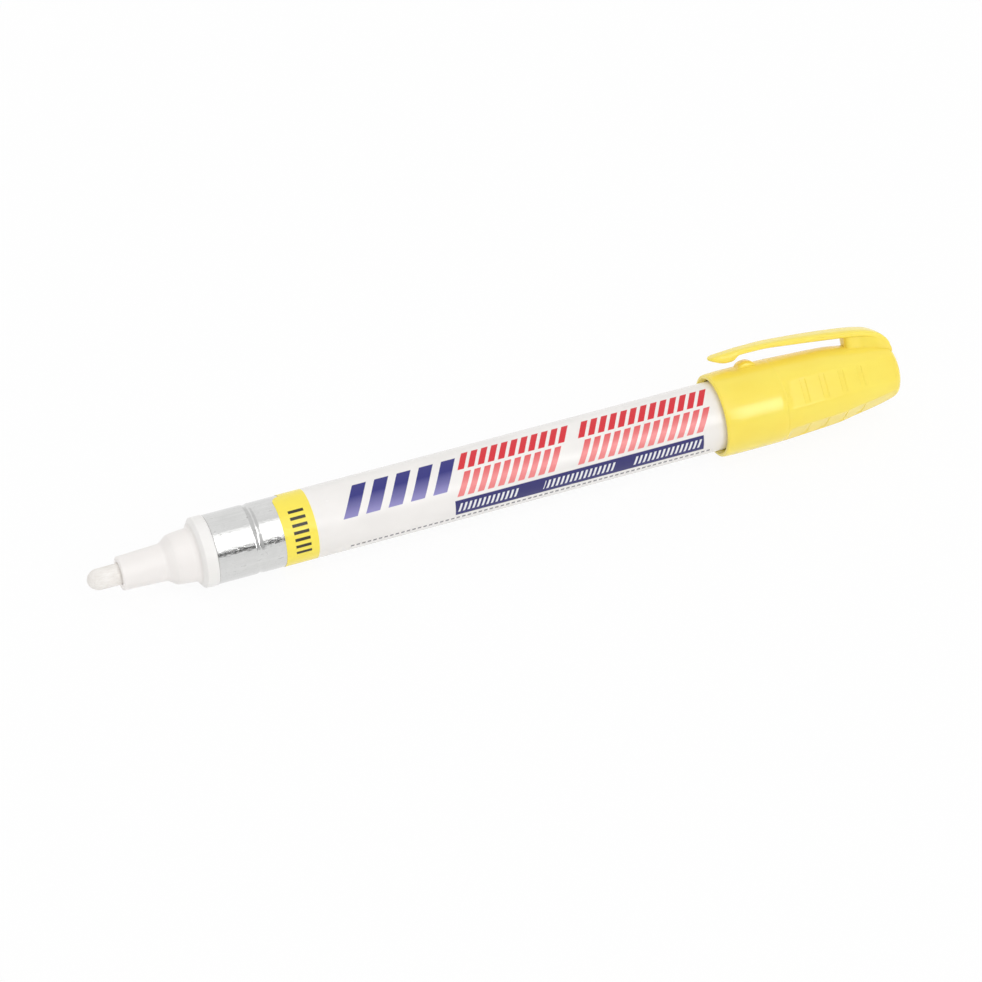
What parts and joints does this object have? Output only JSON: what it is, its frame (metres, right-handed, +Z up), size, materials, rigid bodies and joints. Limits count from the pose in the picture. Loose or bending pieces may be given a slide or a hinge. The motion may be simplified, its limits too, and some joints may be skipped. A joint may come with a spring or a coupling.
{
  "type": "paint marker",
  "caption": "Valve-action paint marker lying on its side: fibre nib, white nose cone, labelled aluminium barrel, clipped yellow cap posted on the rear end.",
  "frame": {"origin": "centre of the bounding box, on the level flat under the widest part of the cap", "axes": "+X along the axis from nib to cap end, +Z up as the marker lies on its side, clip leaning 28 degrees from +Z towards +Y"},
  "size_m": [0.1692, 0.017, 0.0202],
  "materials": {
    "nib_fibre": "pressed white fibre, dry and matte",
    "warm_white_plastic": "warm white moulded plastic, satin",
    "cool_white_plastic": "cool white moulded plastic, satin",
    "inner_plastic": "natural white moulded plastic",
    "black_rubber": "moulded rubber",
    "spring_steel": "drawn spring wire",
    "ball_steel": "polished ball",
    "drawn_aluminium": "bright drawn aluminium with fine lengthwise draw lines",
    "label_film": "white printed film, semi-gloss",
    "yellow_plastic": "yellow moulded plastic, satin gloss"
  },
  "bodies": {
    "marker_body": {"nose_cone": "warm_white_plastic", "valve_body": "cool_white_plastic", "barrel_gasket": "black_rubber", "valve_seat": "black_rubber", "valve_spring": "spring_steel", "spring_cage": "inner_plastic", "barrel": "drawn_aluminium", "label": "label_film"},
    "nib": {"nib": "nib_fibre"},
    "valve_stem": {"valve_stem": "inner_plastic"},
    "mixing_ball": {"mixing_ball": "ball_steel"},
    "cap_liner": {"cap_liner": "inner_plastic"},
    "cap": {"cap": "yellow_plastic"}
  },
  "joints": [
    {"name": "nib_press", "type": "slide", "parent": "marker_body", "child": "nib", "axis": [1, 0, 0], "range_m": [0, 0.002], "stiffness_N_per_m": 300, "springref_m": -0.002},
    {"name": "valve_slide", "type": "slide", "parent": "marker_body", "child": "valve_stem", "axis": [1, 0, 0], "range_m": [0, 0.002], "deforming": ["valve_spring"]},
    {"name": "ball_roll", "type": "slide", "parent": "marker_body", "child": "mixing_ball", "axis": [1, 0, 0], "range_m": [0, 0.088]},
    {"name": "cap_pull", "type": "slide", "parent": "marker_body", "child": "cap_liner", "axis": [1, 0, 0], "range_m": [0, 0.03]},
    {"name": "cap_turn", "type": "hinge", "parent": "cap_liner", "child": "cap", "pos_m": [0.0699, 0, 0.0085], "axis": [1, 0, 0], "continuous": true}
  ],
  "couplings": [
    {"joint": "valve_slide", "follows": "nib_press", "ratio": 1}
  ]
}
